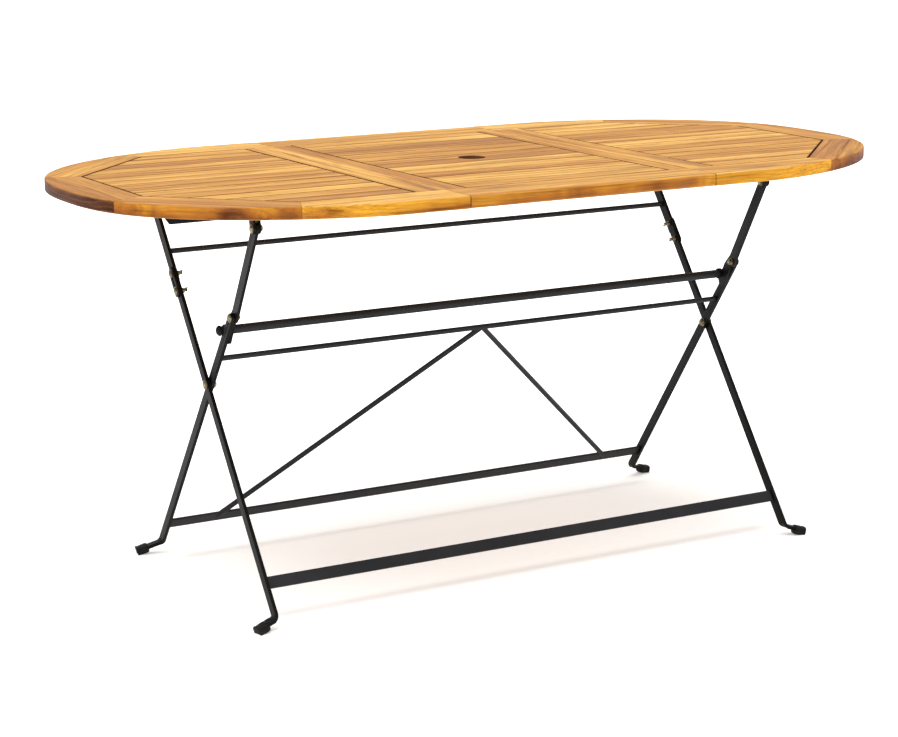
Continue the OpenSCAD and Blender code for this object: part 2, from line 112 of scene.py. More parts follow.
class Nodes:
    """Short way to build a node tree."""

    def __init__(self, name):
        self.material = bpy.data.materials.new(name)
        self.material.use_nodes = True
        self.tree = self.material.node_tree
        self.shader = self.tree.nodes["Principled BSDF"]

    def add(self, kind, **settings):
        node = self.tree.nodes.new(kind)
        for key, value in settings.items():
            setattr(node, key, value)
        return node

    def put(self, socket, value):
        if isinstance(value, bpy.types.NodeSocket):
            self.tree.links.new(value, socket)
        else:
            socket.default_value = value

    def math(self, operation, a, b=0.0):
        node = self.add("ShaderNodeMath", operation=operation)
        for socket, value in zip(node.inputs, (a, b)):
            self.put(socket, value)
        return node.outputs[0]

    def vector(self, operation, a, b):
        node = self.add("ShaderNodeVectorMath", operation=operation)
        self.put(node.inputs[0], a)
        self.put(node.inputs[1], b)
        return node.outputs[0]

    def xyz(self, vector):
        node = self.add("ShaderNodeSeparateXYZ")
        self.put(node.inputs[0], vector)
        return node.outputs

    def join(self, x, y, z):
        node = self.add("ShaderNodeCombineXYZ")
        for socket, value in zip(node.inputs, (x, y, z)):
            self.put(socket, value)
        return node.outputs[0]

    def noise(self, vector, scale, detail, rough=0.5, distortion=0.0):
        node = self.add("ShaderNodeTexNoise")
        self.put(node.inputs["Vector"], vector)
        node.inputs["Scale"].default_value = scale
        node.inputs["Detail"].default_value = detail
        node.inputs["Roughness"].default_value = rough
        node.inputs["Distortion"].default_value = distortion
        return node.outputs["Fac"]

    def ramp(self, value, stops):
        node = self.add("ShaderNodeValToRGB")
        self.put(node.inputs[0], value)
        elements = node.color_ramp.elements
        while len(elements) < len(stops):
            elements.new(0.5)
        for element, (place, colour) in zip(elements, stops):
            element.position = place
            element.color = (*colour, 1)
        return node.outputs[0]

    def mix(self, factor, a, b, blend="MIX"):
        # 6, 7 and 2 are the colour sockets of this node
        node = self.add("ShaderNodeMix", data_type="RGBA", blend_type=blend)
        self.put(node.inputs[0], factor)
        self.put(node.inputs[6], a)
        self.put(node.inputs[7], b)
        return node.outputs[2]

    def bump(self, height, strength, distance):
        node = self.add("ShaderNodeBump")
        self.put(node.inputs["Height"], height)
        node.inputs["Strength"].default_value = strength
        node.inputs["Distance"].default_value = distance
        return node.outputs["Normal"]

    def set(self, name, value):
        self.put(self.shader.inputs[name], value)

    def object_place(self):
        return self.add("ShaderNodeTexCoord").outputs["Object"]


def grey(level):
    return (level, level, level)


PITH_DEPTH = 0.045        # metres from a board's middle down to the pith its rings run round
HALF_BOARD = 0.011        # metres from a board's middle to its face
RINGS_PER_METRE = 150.0
# How dark a growth ring is across its width
RING_SHADES = [
    (0.0, grey(0.55)), (0.12, grey(0.0)), (0.62, grey(0.25)), (0.94, grey(1.0)), (1.0, grey(0.55)),
]
# Colours from heartwood to sapwood, and of the oiled edges from brown to gold, darkened as painted shade
BODY_TONES = [
    (0.0, (0.265, 0.104, 0.026)), (0.3, (0.365, 0.160, 0.035)), (0.55, (0.468, 0.230, 0.050)),
    (0.8, (0.575, 0.315, 0.074)), (1.0, (0.645, 0.385, 0.106)),
]
EDGE_TONES = [
    (0.0, (0.050, 0.014, 0.007)), (0.3, (0.140, 0.038, 0.010)), (0.6, (0.330, 0.110, 0.014)),
    (1.0, (0.600, 0.275, 0.022)),
]


# ---------- materials ----------

def oiled_wood():
    """Solid wood from each board's own grain coordinates: growth rings, streaks, pores, oiled edges and
    painted shade.
    """
    m = Nodes("oiled_wood")
    grain = m.add("ShaderNodeAttribute", attribute_name="grain").outputs["Vector"]
    board = m.xyz(m.add("ShaderNodeAttribute", attribute_name="board").outputs["Vector"])
    # per point: painted shade in a gap, share of outer edge, and that edge's tone
    shade_and_edge = m.xyz(m.add("ShaderNodeAttribute", attribute_name="shade_and_edge").outputs["Vector"])
    seed, tone, warmth = board
    grime, edge, edge_tone = shade_and_edge
    place = m.vector("ADD", grain, m.join(m.math("MULTIPLY", seed, 3.7), seed, m.math("MULTIPLY", seed, 1.9)))
    along, across, deep = m.xyz(grain)

    # growth rings round a pith that runs under the board and wanders along it
    sway = m.noise(m.vector("MULTIPLY", place, (2.2, 9, 9)), 1.0, 2, 0.45)
    wander = m.noise(m.vector("MULTIPLY", place, (7, 40, 40)), 1.0, 2, 0.5)
    pith_side = m.math("MULTIPLY", m.math("SINE", m.math("MULTIPLY", seed, 91.0)), 0.03)
    sway_side = m.math("MULTIPLY", m.math("SUBTRACT", sway, 0.5), 0.11)
    sway_drop = m.math("MULTIPLY", m.math("SUBTRACT", wander, 0.5), 0.022)
    side = m.math("ADD", m.math("SUBTRACT", across, pith_side), sway_side)
    drop = m.math("ADD", m.math("ADD", deep, PITH_DEPTH), sway_drop)
    radius = m.math("SQRT", m.math("ADD", m.math("MULTIPLY", side, side), m.math("MULTIPLY", drop, drop)))
    ring = m.math("FRACT", m.math("MULTIPLY", radius, RINGS_PER_METRE))
    ring_dark = m.ramp(ring, RING_SHADES)

    broad = m.noise(m.vector("MULTIPLY", place, (1.5, 30, 30)), 1.0, 3, 0.55, 0.5)
    streak = m.noise(m.vector("MULTIPLY", place, (3.0, 110, 110)), 1.0, 5, 0.65, 0.3)
    fibre = m.noise(m.vector("MULTIPLY", place, (14, 620, 620)), 1.0, 4, 0.6)
    pores = m.noise(m.vector("MULTIPLY", place, (45, 1500, 1500)), 1.0, 1, 0.5)
    heart = m.noise(m.vector("MULTIPLY", place, (3.2, 20, 20)), 1.0, 2, 0.4, 1.0)
    patch = m.noise(m.vector("MULTIPLY", place, (8, 12, 6)), 1.0, 3, 0.5, 0.8)

    # the board's own tone moves between sapwood and heartwood along broad streaks
    swing = m.math("MULTIPLY", m.math("SUBTRACT", broad, 0.5), 1.9)
    body = m.ramp(m.math("ADD", tone, swing), BODY_TONES)
    pink = m.mix(m.math("MULTIPLY", warmth, 0.6), body, (0.36, 0.158, 0.050, 1))
    # an outer edge is blotched, and darker towards its lower corner: painted shade under a light from above
    upper = m.math("MULTIPLY", m.math("ADD", deep, HALF_BOARD), 16.0)
    blotch = m.math("MULTIPLY", m.math("SUBTRACT", patch, 0.5), 1.6)
    edge_value = m.math("ADD", blotch, m.math("ADD", edge_tone, upper))
    # the edge colours are the oiled edge, darkened further as painted shade of the side faces
    oiled_and_shaded = m.ramp(m.math("SUBTRACT", edge_value, 0.2), EDGE_TONES)
    figured = m.mix(edge, pink, oiled_and_shaded)
    figured = m.mix(m.math("MULTIPLY", ring_dark, 0.38), figured, (0.20, 0.082, 0.020, 1))
    line = m.ramp(streak, [(0.31, (0.50, 0.40, 0.28)), (0.45, grey(0.96)), (0.66, (1.28, 1.34, 1.34))])
    figured = m.mix(0.95, figured, line, "MULTIPLY")
    fine = m.ramp(fibre, [(0.28, (0.72, 0.66, 0.60)), (0.55, grey(1.0)), (0.8, grey(1.06))])
    figured = m.mix(0.85, figured, fine, "MULTIPLY")
    dark_heart = m.ramp(heart, [(0.63, grey(0.0)), (0.75, grey(0.6))])
    figured = m.mix(dark_heart, figured, (0.19, 0.088, 0.045, 1))
    pore = m.ramp(pores, [(0.27, grey(0.8)), (0.36, grey(0.0))])
    figured = m.mix(m.math("MULTIPLY", pore, 0.6), figured, (0.16, 0.065, 0.025, 1))
    # painted shade: the walls of the gaps between boards, and the tongues, turn near black
    figured = m.mix(m.math("MULTIPLY", grime, 0.88), figured, (0.055, 0.022, 0.009, 1))
    m.set("Base Color", figured)

    gloss = m.math("ADD", 0.40, m.math("MULTIPLY", fibre, 0.22))
    m.set("Roughness", m.math("ADD", gloss, m.math("MULTIPLY", pore, 0.15)))
    m.set("Specular IOR Level", 0.05)
    relief = m.math("SUBTRACT", m.math("MULTIPLY", fibre, 0.6), m.math("MULTIPLY", pore, 0.7))
    relief = m.math("SUBTRACT", relief, m.math("MULTIPLY", ring_dark, 0.25))
    m.set("Normal", m.bump(relief, 0.35, 0.0004))
    return m.material


def powder_coat(name, dull, dusty, shine):
    """Satin near-black powder coat with a faint orange-peel skin and dusty bloom."""
    m = Nodes(name)
    place = m.object_place()
    bloom = m.noise(place, 9.0, 4, 0.6)
    speck = m.noise(place, 420.0, 2, 0.6)
    dust = m.ramp(bloom, [(0.35, dull), (0.75, dusty)])
    specks = m.ramp(speck, [(0.62, grey(0.0)), (0.80, grey(0.4))])
    m.set("Base Color", m.mix(specks, dust, (0.030, 0.030, 0.029, 1)))
    m.set("Roughness", m.math("ADD", 0.36, m.math("MULTIPLY", bloom, 0.22)))
    m.set("Specular IOR Level", shine)
    peel = m.noise(place, 850.0, 2, 0.5)
    m.set("Normal", m.bump(peel, 0.22, 0.0004))
    return m.material


def zinc_plate():
    """Yellowish passivated zinc, a little dulled."""
    m = Nodes("zinc_plate")
    place = m.object_place()
    cloud = m.noise(place, 130.0, 4, 0.6)
    scratch = m.noise(m.vector("MULTIPLY", place, (900, 2600, 900)), 1.0, 2, 0.5)
    tints = [(0.25, (0.045, 0.036, 0.020)), (0.5, (0.17, 0.14, 0.082)), (0.8, (0.42, 0.38, 0.27))]
    m.set("Base Color", m.ramp(cloud, tints))
    m.set("Metallic", 1.0)
    m.set("Roughness", m.math("ADD", 0.24, m.math("MULTIPLY", cloud, 0.22)))
    m.set("Normal", m.bump(scratch, 0.12, 0.0002))
    return m.material


def moulded_plastic():
    """Black moulded plastic with a fine spark-eroded texture."""
    m = Nodes("moulded_plastic")
    place = m.object_place()
    scuff = m.noise(place, 60.0, 4, 0.65)
    m.set("Base Color", m.ramp(scuff, [(0.4, (0.0022, 0.0022, 0.0024)), (0.75, (0.0065, 0.0062, 0.0060))]))
    m.set("Roughness", m.math("ADD", 0.45, m.math("MULTIPLY", scuff, 0.25)))
    m.set("Specular IOR Level", 0.15)
    m.set("Normal", m.bump(m.noise(place, 1400.0, 2, 0.5), 0.25, 0.0003))
    return m.material


WOOD = oiled_wood()
COAT = powder_coat("powder_coat", (0.0018, 0.0018, 0.0020), (0.0042, 0.0042, 0.0045), 0.09)
# the cross members' coat is the legs' coat painted lighter: painted light
COAT_RAILS_PAINTED_LIGHT = powder_coat("powder_coat_rails_painted_light", (0.0135, 0.0143, 0.0165), (0.0215, 0.0222, 0.0245), 0.13)
ZINC = zinc_plate()
PLASTIC = moulded_plastic()


# ---------- wooden boards, rebuilt from the outlines of the CAD boards ----------

def flat_loops(node, z):
    """Outlines of the node's upward faces at height z, each a list of 2-D points, anticlockwise."""
    mesh = frame["nodes"][node].data
    near = 2e-5
    edges = {}
    for face in mesh.polygons:
        points = [mesh.vertices[v].co for v in face.vertices]
        if any(abs(p.z - z) > near for p in points) or face.normal.z < 0.5:
            continue
        keys = [(round(p.x, 5), round(p.y, 5)) for p in points]
        for a, b in zip(keys, keys[1:] + keys[:1]):
            if edges.get(b) and a in edges[b]:
                edges[b].remove(a)
            else:
                edges.setdefault(a, []).append(b)
    loops = []
    edges = {a: bs for a, bs in edges.items() if bs}
    while edges:
        start = next(iter(edges))
        loop, here = [], start
        while here in edges:
            loop.append(Vector(here))
            onward = edges[here].pop()
            if not edges[here]:
                del edges[here]
            here = onward
        loops.append(without_straight_points(loop))
    return loops


def without_straight_points(loop):
    """Drops points that lie on the straight line between their neighbours."""
    kept = []
    for i, p in enumerate(loop):
        before, after = p - loop[i - 1], loop[(i + 1) % len(loop)] - p
        if before.length < 1e-6 or after.length < 1e-6:
            continue
        turn = before.normalized().x * after.normalized().y - before.normalized().y * after.normalized().x
        if abs(turn) > 1e-4:
            kept.append(p)
    return kept


def inset_corner(p, into, out, a, b):
    """Corner between two edges that have moved inwards by a and b."""
    n1, n2 = Vector((-into.y, into.x)), Vector((-out.y, out.x))
    cross = into.x * out.y - into.y * out.x
    if abs(cross) < 0.02:
        return p + n1 * (a + b) / 2
    q1, q2 = p + n1 * a, p + n2 * b
    t = ((q2.x - q1.x) * out.y - (q2.y - q1.y) * out.x) / cross
    return q1 + into * t


def rounding(radius, depth):
    """How far a round edge has pulled in at this depth below the face."""
    if depth >= radius:
        return 0.0
    rise = (radius - depth) / radius
    return radius * (1 - math.sqrt(1 - rise * rise))


ROUND_DEPTHS = [0.0, 0.12, 0.4, 0.85, 1.5, 2.3, 3.2, 4.2, 5.5]   # mm below a face, one ring each
HOLD = 1.2 * MM   # flat border round a face that keeps its shading flat


def board_rings(loop, edges, low, high):
    """Rings of points from the bottom to the top face, with round edges, and each point's painted shade and
    edge.
    """
    n = len(loop)
    ways = [(loop[(i + 1) % n] - loop[i]).normalized() for i in range(n)]
    depths = [d * MM for d in ROUND_DEPTHS]
    levels = [(low, 0.0, HOLD)] + [(low + d, d, 0.0) for d in depths]
    levels += [(high - d, d, 0.0) for d in reversed(depths)] + [(high, 0.0, HOLD)]
    rings, shades_and_edges = [], []
    for z, depth, inset in levels:
        ring, shade_and_edge = [], []
        for i in range(n):
            before, after = edges[i - 1], edges[i]
            a, b = rounding(before.radius, depth) + inset, rounding(after.radius, depth) + inset
            q = inset_corner(loop[i], ways[i - 1], ways[i], a, b)
            ring.append(Vector((q.x, q.y, z)))
            # painted shade: a gap's walls darken with depth below the face
            sunk = min(1.0, depth / GAP_SHADE_DEPTH)
            side = min(1.0, depth / max(after.radius, before.radius))
            grime = sunk * max(before.grime, after.grime)
            shade_and_edge.append((grime, side * max(before.free, after.free), after.tone))
        rings.append(ring)
        shades_and_edges.append(shade_and_edge)
    return rings, shades_and_edges


class Edge:
    """One side of a board: how round it is, how much painted shade its gap gets, whether it shows, and its
    tone.
    """

    def __init__(self, radius, grime, free=0.0, tone=0.5):
        self.radius, self.grime, self.free, self.tone = radius, grime, free, tone


class BoardMesh:
    """Collects boards into one mesh, with each board's grain coordinates."""

    def __init__(self):
        self.points, self.faces, self.grain, self.board, self.shade_and_edge = [], [], [], [], []

    def add(self, rings, shades_and_edges, frame_of_grain, look):
        self.faces += skin(len(self.points), len(rings[0]), len(rings))
        centre, angle = frame_of_grain
        turn = Matrix.Rotation(-angle, 3, "Z")
        for ring, shade_and_edge in zip(rings, shades_and_edges):
            self.shade_and_edge += shade_and_edge
            for p in ring:
                self.points.append(p)
                self.grain.append(turn @ (p - centre))
                self.board.append(look)

    def build(self, name, replaced):
        mesh = bpy.data.meshes.new(name)
        mesh.from_pydata([tuple(p) for p in self.points], [], self.faces)
        for attribute, values in (("grain", self.grain), ("board", self.board), ("shade_and_edge", self.shade_and_edge)):
            layer = mesh.attributes.new(attribute, "FLOAT_VECTOR", "POINT")
            layer.data.foreach_set("vector", [x for v in values for x in v])
        smooth(mesh, 38)
        mesh.materials.append(WOOD)
        obj = new_object(name, mesh)
        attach(obj, TOP)
        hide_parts(replaced)
        return obj


RAIL_NODES = [
    "left_tip_rail", "right_tip_rail", "left_rear_corner", "left_front_corner", "right_rear_corner",
    "right_front_corner", "left_rear_rail", "left_front_rail", "right_rear_rail", "right_front_rail",
    "left_stile", "right_stile", "centre_left_stile", "centre_right_stile", "centre_rear_rail",
    "centre_front_rail",
]
SLAT_NODES = ["left_slats", "centre_slats", "right_slats"]
board_low, board_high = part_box("centre_front_rail")
BOTTOM_Z, TOP_Z = board_low.z, board_high.z
outlines = {name: flat_loops(name, TOP_Z) for name in RAIL_NODES + SLAT_NODES}

# Tone of each board: 0 dark, 1 light; then how pink it is
RAIL_LOOKS = {
    "left_tip_rail": (0.37, 0.40), "right_tip_rail": (0.38, 0.45),
    "left_rear_corner": (0.62, 0.15), "left_front_corner": (0.45, 0.35),
    "right_rear_corner": (0.58, 0.2), "right_front_corner": (0.38, 0.4),
    "left_rear_rail": (0.74, 0.1), "left_front_rail": (0.88, 0.0),
    "right_rear_rail": (0.76, 0.1), "right_front_rail": (0.74, 0.1),
    "left_stile": (0.62, 0.15), "right_stile": (0.55, 0.2),
    "centre_left_stile": (0.40, 0.5), "centre_right_stile": (0.55, 0.2),
    "centre_rear_rail": (0.64, 0.2), "centre_front_rail": (0.60, 0.3),
}
SLAT_TONES = {"D": (0.34, 0.45), "M": (0.54, 0.22), "L": (0.74, 0.08)}
# One letter a slat, from the front to the rear
SLAT_LOOKS = {
    "left_slats": "DMLMMMMLMMMDLM",
    "centre_slats": "MLLMLLDDLMDDLL",
    "right_slats": "MMMMMMLLMMDLLL",
}
# Tone of the outer edge of each board: 0 dark brown, 1 golden
EDGE_LOOKS = {
    "left_tip_rail": 0.03, "left_front_corner": 0.57, "left_front_rail": 0.85, "centre_front_rail": 0.56,
    "right_front_rail": 1.0, "right_front_corner": 0.50, "right_tip_rail": 0.30,
}
OUTER_ROUND, CENTRE_ROUND = 2.6 * MM, 5.0 * MM
JOINT_ROUND, SLAT_ROUND = 0.7 * MM, 1.6 * MM
SEAM_MARK = 1.0 * MM     # how far the painted shade of a joint spreads along an outer edge
TOUCH = 0.4 * MM         # boards nearer than this meet in a tight joint
NEIGHBOUR = 8 * MM       # an edge with no board this near is an outer edge
GAP_SHADE_DEPTH = 0.6 * MM   # depth where the painted shade in a gap is darkest
# mm that a board stands low or high, from and to
RAIL_LIFT, SLAT_LIFT = (-0.15, 0.15), (-0.25, 0.1)
# How far each panel stands out of line with the centre one, as built by hand
PANEL_SHIFT = {"left": Vector((0, -1.6 * MM, 0.3 * MM)), "right": Vector((0, 1.8 * MM, -0.2 * MM))}


def middle_of(loop):
    return sum(loop, Vector((0, 0))) / len(loop)


def meets_board(name, a, b, far):
    """True where another board lies at this distance outside the edge."""
    outward = Vector(((b - a).y, -(b - a).x)).normalized() * far
    others = [loop for other, loops in outlines.items() if other != name for loop in loops]
    probes = [a.lerp(b, share) + outward for share in (0.37, 0.5, 0.61)]
    return any(inside(p, loop) for p in probes for loop in others)


def inside(p, loop):
    found = False
    for a, b in zip(loop, loop[1:] + loop[:1]):
        if (a.y > p.y) != (b.y > p.y) and p.x < (b.x - a.x) * (p.y - a.y) / (b.y - a.y) + a.x:
            found = not found
    return found


def grain_angle(name, loop):
    """Boards run along X, cross stiles and tips along Y, corner rails along their inner edge."""
    if "stile" in name or "tip" in name:
        return math.pi / 2
    if "corner" not in name:
        return 0.0
    long_sides = [(a, b) for a, b in zip(loop, loop[1:] + loop[:1]) if (b - a).length > 0.1]
    a, b = min(long_sides, key=lambda side: ((side[0] + side[1]) / 2).length)
    return math.atan2(b.y - a.y, b.x - a.x)


def moved(loop, shift):
    return [p + shift.xy for p in loop]


def with_seam_points(loop, edges):
    """Adds a point near each end of an outer side, so that the painted shade of a joint stays at the joint.
    """
    points, kept, n = [], [], len(loop)
    for i in range(n):
        a, b = loop[i], loop[(i + 1) % n]
        step = (b - a).normalized() * SEAM_MARK
        points.append(a)
        kept.append(edges[i])
        if edges[i].free and not edges[i - 1].free:
            points.append(a + step)
            kept.append(edges[i])
        if edges[i].free and not edges[(i + 1) % n].free:
            points.append(b - step)
            kept.append(edges[i])
    return points, kept


def make_rail(name, rng):
    loop = outlines[name][0]
    outer_round = CENTRE_ROUND if name.startswith("centre") else OUTER_ROUND
    outer = Edge(outer_round, 0.0, 1.0, EDGE_LOOKS.get(name, 0.6))
    # joints get painted shade in their gaps, a little less where the boards touch
    open_joint, tight_joint = Edge(JOINT_ROUND, 1.0), Edge(JOINT_ROUND, 0.6)
    edges = []
    for a, b in zip(loop, loop[1:] + loop[:1]):
        joint = tight_joint if meets_board(name, a, b, TOUCH) else open_joint
        edges.append(joint if meets_board(name, a, b, NEIGHBOUR) else outer)
    loop, edges = with_seam_points(loop, edges)
    shift = PANEL_SHIFT.get(name.split("_")[0], Vector((0, 0, 0)))
    shift = shift + Vector((0, 0, rng.uniform(*RAIL_LIFT) * MM))
    loop = moved(loop, shift)
    centre = middle_of(loop).to_3d() + Vector((0, 0, (BOTTOM_Z + TOP_Z) / 2))
    tone, warmth = RAIL_LOOKS[name]
    boards = BoardMesh()
    rings, shades_and_edges = board_rings(loop, edges, BOTTOM_Z + shift.z, TOP_Z + shift.z)
    boards.add(rings, shades_and_edges, (centre, grain_angle(name, loop)), (rng.uniform(1, 9), tone, warmth))
    boards.build(name + "_board", name)


def make_slats(name, rng):
    panel = name.split("_")[0]
    boards = BoardMesh()
    loops = sorted(outlines[name], key=lambda loop: middle_of(loop).y)
    looks = SLAT_LOOKS[name]
    levels = tongue_levels(name)
    tongues = flat_loops(name, levels[1])
    for number, loop in enumerate(loops):
        shift = PANEL_SHIFT.get(panel, Vector((0, 0, 0)))
        shift = shift + Vector((0, 0, rng.uniform(*SLAT_LIFT) * MM))
        tone, warmth = SLAT_TONES[looks[number]]
        look = (rng.uniform(1, 9), min(1, max(0, tone + rng.uniform(-0.08, 0.08))), warmth)
        centre = Vector((0, middle_of(loop).y, (BOTTOM_Z + TOP_Z) / 2))
        placed = moved(loop, shift)
        # each slat side gets full painted shade in its gap
        edges = [Edge(SLAT_ROUND, 1.0)] * len(loop)
        rings, shades_and_edges = board_rings(placed, edges, BOTTOM_Z + shift.z, TOP_Z + shift.z)
        boards.add(rings, shades_and_edges, (centre, 0.0), look)
        front, rear = min(p.y for p in loop), max(p.y for p in loop)
        for tongue in tongues:
            if front < middle_of(tongue).y < rear:
                flat = [[Vector((p.x, p.y, z)) for p in moved(tongue, shift)] for z in levels]
                # the tongues, seen down the gaps, are painted fully in shade
                gap_shaded = [[(1.0, 0.0, 0.5)] * len(tongue)] * len(flat)
                boards.add(flat, gap_shaded, (centre, 0.0), look)
    boards.build(name + "_boards", name)


def tongue_levels(name):
    """Lower and upper face of the slat tongues."""
    heights = {round(v.co.z, 5) for v in frame["nodes"][name].data.vertices}
    inner = sorted(z for z in heights if BOTTOM_Z + 1 * MM < z < TOP_Z - 1 * MM)
    return inner[0], inner[-1]


def make_top():
    rng = random.Random(7)
    for name in RAIL_NODES:
        make_rail(name, rng)
    for name in SLAT_NODES:
        make_slats(name, rng)


make_top()


# ---------- steel, zinc and plastic: CAD pieces with soft edges, or finer ones in their place ----------

STEEL_EDGE, SCREW_EDGE = 1.0 * MM, 0.4 * MM   # how far the sharp edges of CAD pieces are rounded
JOIN_NEAR = 0.002 * MM   # corners of a CAD piece this near each other are one corner
SHARP = 40               # degrees between two faces that make an edge sharp


def soften(obj, width):
    """Rounds the sharp edges of a CAD piece, once the faces that meet there are joined."""
    joined = obj.modifiers.new("joined", "WELD")
    joined.merge_threshold = JOIN_NEAR
    bevel = obj.modifiers.new("soft_edges", "BEVEL")
    bevel.width = width
    bevel.segments = 2
    bevel.limit_method = "ANGLE"
    bevel.angle_limit = math.radians(SHARP)
    obj.modifiers.new("even_shading", "WEIGHTED_NORMAL")


def islands(node):
    """Corners of the separate solids inside a CAD node."""
    mesh = frame["nodes"][node].data
    ids, parent = {}, []
    point_id = []
    for v in mesh.vertices:
        key = tuple(round(c, 6) for c in v.co)
        if key not in ids:
            ids[key] = len(parent)
            parent.append(len(parent))
        point_id.append(ids[key])

    def root(i):
        while parent[i] != i:
            i = parent[i]
        return i

    for face in mesh.polygons:
        first = root(point_id[face.vertices[0]])
        for other in face.vertices[1:]:
            parent[root(point_id[other])] = first
    solids = {}
    for key, i in ids.items():
        solids.setdefault(root(i), []).append(Vector(key))
    return sorted(solids.values(), key=lambda points: tuple(points[0]))


def limits(points, way=None):
    """Lowest and highest corner of the points, or their reach along a direction."""
    if way is not None:
        reach = [p.dot(way) for p in points]
        return min(reach), max(reach)
    return tuple(Vector([pick(p[k] for p in points) for k in range(3)]) for pick in (min, max))


class Forging:
    """Collects turned and swept shapes into one piece."""

    def __init__(self):
        self.points, self.faces = [], []

    def loft(self, rings):
        self.faces += skin(len(self.points), len(rings[0]), len(rings))
        for ring in rings:
            self.points += ring

    def turned(self, start, way, profile, sides=32, hexagon=0.0):
        """Turns pairs of distance and radius, in mm; hexagon caps the radius to a hexagon of that size."""
        u = Vector((0, 0, 1))
        v = way.cross(u)
        rings = []
        for along, radius in profile:
            ring = []
            for i in range(sides):
                a = math.tau * i / sides
                r = radius
                if hexagon:
                    flat = (a + math.pi / 6) % (math.pi / 3) - math.pi / 6
                    r = min(r, hexagon * math.cos(math.pi / 6) / math.cos(math.pi / 6 - abs(flat)))
                ring.append(start + way * along * MM + (u * math.cos(a) + v * math.sin(a)) * r * MM)
            rings.append(ring)
        self.loft(rings)

    def swept_loop(self, loop, size, rng, away):
        """A lumpy weld bead along a closed loop; away is the direction of the bar it holds."""
        n, sides = len(loop), 8
        middle = sum(loop, Vector()) / n
        base = len(self.points)
        for k, p in enumerate(loop):
            out = (p - middle).normalized()
            swell = size * (1 + 0.22 * math.sin(k * 2.1) + rng.uniform(-0.12, 0.12))
            for i in range(sides):
                a = math.tau * i / sides
                self.points.append(p + (out * math.cos(a) + away * math.sin(a)) * swell)
        for k in range(n):
            for i in range(sides):
                j, m = (i + 1) % sides, (k + 1) % n
                here, there = base + k * sides, base + m * sides
                self.faces.append((here + i, there + i, there + j, here + j))

    def build(self, name, material, slot, body, replaced, sharp=34):
        mesh = bpy.data.meshes.new(name)
        mesh.from_pydata([tuple(p) for p in self.points], [], self.faces)
        shape = bmesh.new()
        shape.from_mesh(mesh)
        bmesh.ops.recalc_face_normals(shape, faces=shape.faces)
        shape.to_mesh(mesh)
        shape.free()
        smooth(mesh, sharp)
        mesh.materials.append(material)
        obj = new_object(name, mesh)
        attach(obj, body)
        if replaced:
            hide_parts(*replaced)
        return obj


HEAD_H = 4.0      # mm, height of a CAD bolt head
THREAD_OUT = 1.8  # mm of thread that shows past a nut
SHANKS = {        # shank radius in mm of each set of bolts
    "knee_bolts": 3.5, "crossing_bolts": 4.0, "splice_bolts": 3.0, "bracket_bolts": 3.5,
    "rear_pivot_bolts": 4.0,
}
NUTS = {"knee_nuts": 6.5, "crossing_nuts": 7.5, "bracket_nuts": 6.5, "rear_pivot_nuts": 6.5}


def outward(points):
    """+X on the right end of the table, -X on the left end."""
    return Vector((1 if points[0].x > 0 else -1, 0, 0))


def seat_at(points, way, reach):
    """Point on the axis of a bolt, nut or plug, this far along its direction."""
    low, high = limits(points)
    return way * reach + Vector((0, (low.y + high.y) / 2, (low.z + high.z) / 2))


def make_bolts(node, shank):
    """Round-headed bolts with a washer and a chamfered thread end."""
    bolts = Forging()
    for points in islands(node):
        way = outward(points)
        low, high = limits(points)
        near, far = limits(points, way)
        seat = seat_at(points, way, far - HEAD_H * MM)
        size = (high.z - low.z) / 2 / MM
        end = -(far - near) / MM + HEAD_H
        grooves = []
        if node != "rear_pivot_bolts":
            end -= THREAD_OUT
            for k in range(5):
                grooves += [(end + 0.5 + k * 0.5, shank), (end + 0.75 + k * 0.5, shank - 0.35)]
        profile = [(end, shank - 0.9), (end + 0.4, shank - 0.2)] + grooves
        profile += [(-0.2, shank), (0.0, size * 1.05)]
        profile += [(0.15, size * 1.10), (1.0, size * 1.10), (1.15, size * 1.06), (1.15, size * 0.86)]
        profile += [(1.5, size * 0.88), (2.1, size * 0.84), (2.8, size * 0.72), (3.4, size * 0.52)]
        profile += [(3.8, size * 0.28), (3.95, size * 0.08)]
        bolts.turned(seat, way, profile)
    bolts.build(node + "_detail", ZINC, "zinc", frame["nodes"][node]["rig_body"], [node])


def make_nuts(node, size):
    """Chamfered hexagon lock nuts on washers, with the collar facing the middle of the table."""
    nuts = Forging()
    for points in islands(node):
        way = -outward(points)
        near, far = limits(points, way)
        seat = seat_at(points, way, near)
        deep = (far - near) / MM
        nuts.turned(seat, way, [(0, size * 1.10), (0.1, size * 1.14), (0.7, size * 1.14), (0.8, size * 1.1)])
        body = [(0.8, size * 0.9), (1.3, size * 1.1), (deep - 1.6, size * 1.1), (deep - 1.1, size * 0.88)]
        nuts.turned(seat, way, body, 48, size)
        collar = [(deep - 1.2, size * 0.80), (deep - 0.3, size * 0.78), (deep, size * 0.66)]
        nuts.turned(seat, way, collar)
    nuts.build(node + "_detail", ZINC, "zinc", frame["nodes"][node]["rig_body"], [node])


# Path of a wing in mm: out from the hub, inward, and half its width there
WING_PATH = [
    (2.4, 2.4, 2.1), (4.6, 3.2, 2.2), (6.8, 4.8, 2.1), (8.3, 7.0, 1.9), (9.0, 9.2, 1.6), (9.2, 10.4, 0.9),
]


